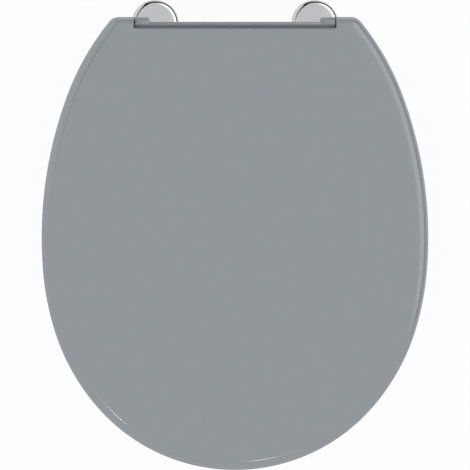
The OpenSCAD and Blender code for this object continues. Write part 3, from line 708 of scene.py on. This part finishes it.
ring_boss_r, ring_boss_stretch = 9.5, 14.5
under = bmesh.new()
for turn in ring_buffer_turns:
    low = bmesh.ops.create_circle(under, cap_ends=True, segments=48, radius=ring_boss_r)["verts"]
    for v in low:
        v.co.y += math.copysign(ring_boss_stretch, v.co.y)
    made = bmesh.ops.extrude_face_region(under, geom=list({f for v in low for f in v.link_faces}),
                                         use_keep_orig=True)["geom"]
    high = [v for v in made if isinstance(v, bmesh.types.BMVert)]
    bmesh.ops.translate(under, vec=(0, 0, ring_ceiling - ring_z), verts=high)
    turn_by(under, math.radians(turn), low + high)
    boss_base = on_rim(turn, rim_middle) + Vector((0, 0, ring_z + 1))
    bmesh.ops.translate(under, vec=boss_base, verts=low + high)
both_sides(under)
combine(ring_shell, tool_of(under), "UNION")
print("ring with ribs:", len(ring_shell.data.polygons), "faces")

# %% Hub pockets and bores
bore_inner, bore_outer = 82.5, 98.5
pockets = bmesh.new()
block(pockets, (hub_inner, -ring_set, 0), (lug_inner, 3, 36.2))
both_sides(pockets)
combine(ring_shell, tool_of(pockets), "DIFFERENCE")
bores = bmesh.new()
rod(bores, (-bore_outer, axis_y, axis_z), bush_bore_r, bore_outer - bore_inner, along="X")
rod(bores, (bore_inner, axis_y, axis_z), cartridge_bore_r, bore_outer - bore_inner, along="X")
combine(ring_shell, tool_of(bores), "DIFFERENCE")
# The joins leave a few points a hair apart, which would otherwise become slivers
joined = bmesh.new()
joined.from_mesh(ring_shell.data)
bmesh.ops.remove_doubles(joined, verts=joined.verts[:], dist=1e-7)
joined.to_mesh(ring_shell.data)
joined.free()
stand_in(ring_shell, "seat_ring")
print("ring done:", len(ring_shell.data.polygons), "faces")

# %% [markdown]
# ## Chrome caps
# Each cap is a thin chrome shell, turned by spinning its section round the stud: a
# straight wall, a full round shoulder and a flat face. The hinge post comes up
# through a hole that the ring's bar hides.

# %% Caps
cap_r, cap_low, cap_h, cap_wall, cap_shoulder = 22.6, 0.4, 8.3, 1.2, 4.2
stud_x, post_x, post_y, post_r = 77.5, 74.0, -12.0, 5.0
sides = {"left": -1, "right": 1}


def turned(profile, centre=(0, 0, 0), steps=96):
    """Spins a profile of (radius, height) points round an upright axis into a closed solid"""
    bm = bmesh.new()
    chain = [bm.verts.new((profile[0][0], 0, profile[0][1]))]
    for r, z in profile[1:]:
        v = bmesh.ops.extrude_vert_indiv(bm, verts=[chain[-1]])["verts"][0]
        v.co = (r, 0, z)
        chain.append(v)
    if profile[0][0] > 0:
        bm.edges.new((chain[-1], chain[0]))
    bmesh.ops.spin(bm, geom=bm.verts[:] + bm.edges[:], cent=(0, 0, 0), axis=(0, 0, 1), dvec=(0, 0, 0),
                   angle=2 * math.pi, steps=steps, use_merge=True, use_duplicate=False)
    bmesh.ops.remove_doubles(bm, verts=bm.verts[:], dist=1e-4)
    bmesh.ops.recalc_face_normals(bm, faces=bm.faces[:])
    bmesh.ops.translate(bm, vec=centre, verts=bm.verts[:])
    return bm


shoulder_z = cap_h - cap_shoulder
shoulder = [math.radians(90 - 7.5 * k) for k in range(13)]


def shoulder_at(radius):
    """Points of the round shoulder, from the flat face to the wall"""
    shoulder_r = cap_r - cap_shoulder
    return [(shoulder_r + radius * math.cos(a), shoulder_z + radius * math.sin(a)) for a in shoulder]


cap_profile = [(0, cap_h)] + shoulder_at(cap_shoulder) + [(cap_r, cap_low + 0.3), (cap_r - 0.3, cap_low)]
cap_profile += [(cap_r - cap_wall + 0.2, cap_low), (cap_r - cap_wall, cap_low + 0.2)]
cap_profile += shoulder_at(cap_shoulder - cap_wall)[::-1] + [(0, cap_h - cap_wall)]
for side, sign in sides.items():
    cap = finish_piece(turned(cap_profile, (sign * stud_x, 0, 0), steps=180), "cap_shell_" + side, chrome)
    hole = bmesh.new()
    rod(hole, (sign * post_x, post_y, -1), post_r + 0.4, 12)
    combine(cap, tool_of(hole), "DIFFERENCE")
    stand_in(cap, "cap_" + side)
print("caps:", len(cap.data.polygons), "faces each")

# %% [markdown]
# ## Fixings
# Under each cap a steel stud goes down through the ceramic. A rubber pad lies on the
# ceramic, and a rubber cone, a washer and a wing nut tighten from below. All but the
# wings are turned shapes. The thread is a ridge that climbs round the stud.

# %% Studs
thread_r, core_r, root_r, shank_r, collar_r = 3.6, 2.85, 2.7, 3.95, 5.0
thread_low, thread_high, pitch, thread_steps = -82.0, -30.0, 1.25, 24
head_r, head_h, head_z = 7.5, 2.8, 4.7


def thread(low, high):
    """A sharp ridge that climbs round the stud by one pitch a turn"""
    bm = bmesh.new()
    ridge = ((root_r, -0.62), (thread_r, -0.06), (thread_r, 0.06), (root_r, 0.62))
    corners = [bm.verts.new((r, 0, low + z)) for r, z in ridge]
    face = bmesh.ops.contextual_create(bm, geom=corners)["faces"]
    steps = round((high - low) / pitch * thread_steps)
    bmesh.ops.spin(bm, geom=face, cent=(0, 0, 0), axis=(0, 0, 1), dvec=(0, 0, (high - low) / steps),
                   angle=2 * math.pi * (high - low) / pitch, steps=steps, use_duplicate=False)
    bmesh.ops.recalc_face_normals(bm, faces=bm.faces[:])
    return bm


def add_mesh(bm, other):
    """Adds another bmesh's shape to a bmesh"""
    passing = bpy.data.meshes.new("passing")
    other.to_mesh(passing)
    other.free()
    bm.from_mesh(passing)
    bpy.data.meshes.remove(passing)


stud_profile = [(0, thread_low), (2.4, thread_low), (core_r, thread_low + 0.5), (core_r, thread_high - 0.6),
                (shank_r, thread_high), (shank_r, 0), (collar_r, 0), (collar_r, 3.5), (0, 3.5)]
for side, sign in sides.items():
    stud = turned(stud_profile, steps=48)
    add_mesh(stud, thread(thread_low + 1.2, thread_high - 1.0))
    head = bmesh.ops.create_cone(stud, cap_ends=True, segments=6, radius1=head_r, radius2=head_r,
                                 depth=head_h)["verts"]
    bmesh.ops.translate(stud, vec=(0, 0, head_z), verts=head)
    # A flat side of the head faces the post
    turn_by(stud, math.atan2(post_y, sign * (post_x - stud_x)) - math.radians(30), head)
    bmesh.ops.translate(stud, vec=(sign * stud_x, 0, 0), verts=stud.verts[:])
    stand_in(finish_piece(stud, "threaded_stud_" + side, steel), "stud_" + side)
print("thread:", round((thread_high - thread_low) / pitch), "turns")

# %% Pads, cones, washers and nuts
def round_ring(inner_r, outer_r, low, high, edge, steps=4):
    """Section of a flat ring with rounded edges, as (radius, height) points"""
    points = []
    for r, z, turn in ((outer_r - edge, low + edge, -90), (outer_r - edge, high - edge, 0),
                       (inner_r + edge, high - edge, 90), (inner_r + edge, low + edge, 180)):
        angles = [math.radians(turn + 90 * k / steps) for k in range(steps + 1)]
        points += [(r + edge * math.cos(a), z + edge * math.sin(a)) for a in angles]
    return points


cone_top, cone_low, washer_low, nut_low, nut_gap = -31, -45, -48, -62, 0.04
hole_r = thread_r + 0.2
cone_profile = [(hole_r, cone_low), (12.4, cone_low), (13, -44.4), (13, -42.3), (12.7, -41.9), (7.8, -31.5),
                (7.2, cone_top), (hole_r, cone_top)]
nut_profile = round_ring(hole_r, 8.5, nut_low, washer_low - nut_gap, 0.8)
# A wing starts inside the nut's wall, clear of its hole, and ends in a round tip
wing_start, wing_x, wing_z, wing_r, wing_half = 5, 15, -55.2, 6.8, 1.8
tip = [math.radians(turn) for turn in range(-80, 121, 10)]
wing_profile = [(wing_start, -61.3), (wing_x, nut_low)]
wing_profile += [(wing_x + wing_r * math.cos(a), wing_z + wing_r * math.sin(a)) for a in tip]
wing_profile += [(8.5, -52), (wing_start, -52)]
for side, sign in sides.items():
    centre = (sign * stud_x, 0, 0)
    pad = turned(round_ring(collar_r + 0.5, 20.1, 0, 1.5, 0.35), centre)
    stand_in(finish_piece(pad, "rubber_pad_" + side, rubber), "foot_pad_" + side)
    cone = turned(cone_profile, centre)
    stand_in(finish_piece(cone, "rubber_cone_" + side, rubber), "cone_washer_" + side)
    washer = turned(round_ring(hole_r, 16, washer_low, cone_low, 0.6), centre)
    stand_in(finish_piece(washer, "round_washer_" + side, acetal), "clamp_washer_" + side)

    nut = finish_piece(turned(nut_profile), "winged_nut_" + side, acetal)
    wings = push_out(wing_profile, -wing_half, wing_half)
    soften(wings, 0.7)
    turn_by(wings, math.radians(-90), wings.verts[:])
    bmesh.ops.mirror(wings, geom=wings.verts[:] + wings.edges[:] + wings.faces[:], matrix=Matrix(),
                     merge_dist=0.001, axis="X")
    bmesh.ops.recalc_face_normals(wings, faces=wings.faces[:])
    combine(nut, tool_of(wings), "UNION")
    nut.data.transform(Matrix.Translation((sign * stud_x * mm, 0, 0)))
    stand_in(nut, "wing_nut_" + side)
print("fixings done")

# %% [markdown]
# ## Hinge parts and buffers
# The hubs, posts, dampers, bushes, latches and buffers have the right shape in the CAD
# model. A copy of each gets rounded edges and smooth shading, and the CAD part is
# hidden. The copy's loose triangles are merged and its flat faces made whole before
# the bevel, so that the bevel meets only real edges.

# %% Rounded copies
finishes = {"grey_thermoset": thermoset, "chrome": chrome, "steel": steel, "dark_plastic": nylon,
            "white_plastic": acetal, "rubber": rubber}
edge_radius = {"hinge_hub": 0.7, "base_plate": 0.4, "release_latch": 0.5, "hinge_post": 0.3,
               "lid_damper_cartridge": 0.35, "ring_damper_cartridge": 0.35, "lid_damper_shaft": 0.2,
               "ring_damper_shaft": 0.2, "lug_bush": 0.2, "ear_bush": 0.2, "ring_buffer": 1.2,
               "lid_buffer": 0.9}
slit_x, slit_w, slit_collar_r = 97.35, 0.6, 11.1
for name, node in sorted(frame["nodes"].items()):
    radius = [r for start, r in edge_radius.items() if name.startswith(start)]
    if not radius:
        continue
    copy = bmesh.new()
    copy.from_mesh(node.data)
    bmesh.ops.scale(copy, vec=(1 / mm, 1 / mm, 1 / mm), verts=copy.verts[:])
    bmesh.ops.remove_doubles(copy, verts=copy.verts[:], dist=1e-3)
    bmesh.ops.dissolve_limit(copy, angle_limit=math.radians(1), verts=copy.verts[:], edges=copy.edges[:],
                             use_dissolve_boundaries=False)
    soften(copy, radius[0], angle=40)
    if name.endswith("cartridge"):
        # A thin collar keeps the lug and the ear apart, and shuts the slit between them
        collar_x = -slit_x - slit_w if name.startswith("lid") else slit_x
        rod(copy, (collar_x, axis_y, axis_z), slit_collar_r, slit_w, along="X")
    stand_in(finish_piece(copy, "rounded_" + name, finishes[node.data.materials[0].name]), name)

# %% [markdown]
# ## Glints
# Two small lamps nearly overhead give the short bright streaks on the lid's rounded
# edge, at the front and at the front left. They are too weak to change the colours.

# %% Small lamps
lamp_angle = 1.9
# Each has an azimuth and an angle off the zenith in degrees, and a strength
glints = (("front left glint", -132.5, 18, 0.055), ("front glint", -80.7, 14, 0.033))
for name, azimuth, off_zenith, strength in glints:
    lamp = bpy.data.objects.new(name, bpy.data.lights.new(name, "SUN"))
    bpy.context.scene.collection.objects.link(lamp)
    lamp.data.energy = strength
    lamp.data.angle = math.radians(lamp_angle)
    tilt = math.sin(math.radians(off_zenith))
    towards = Vector((tilt * math.cos(math.radians(azimuth)), tilt * math.sin(math.radians(azimuth)),
                      math.cos(math.radians(off_zenith))))
    lamp.rotation_mode = "QUATERNION"
    lamp.rotation_quaternion = towards.to_track_quat("Z", "Y")
print("lamps:", len(bpy.data.lights))

# %% Sizes
low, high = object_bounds()
print("visual box in mm:", [round(v / mm, 2) for v in low], [round(v / mm, 2) for v in high])
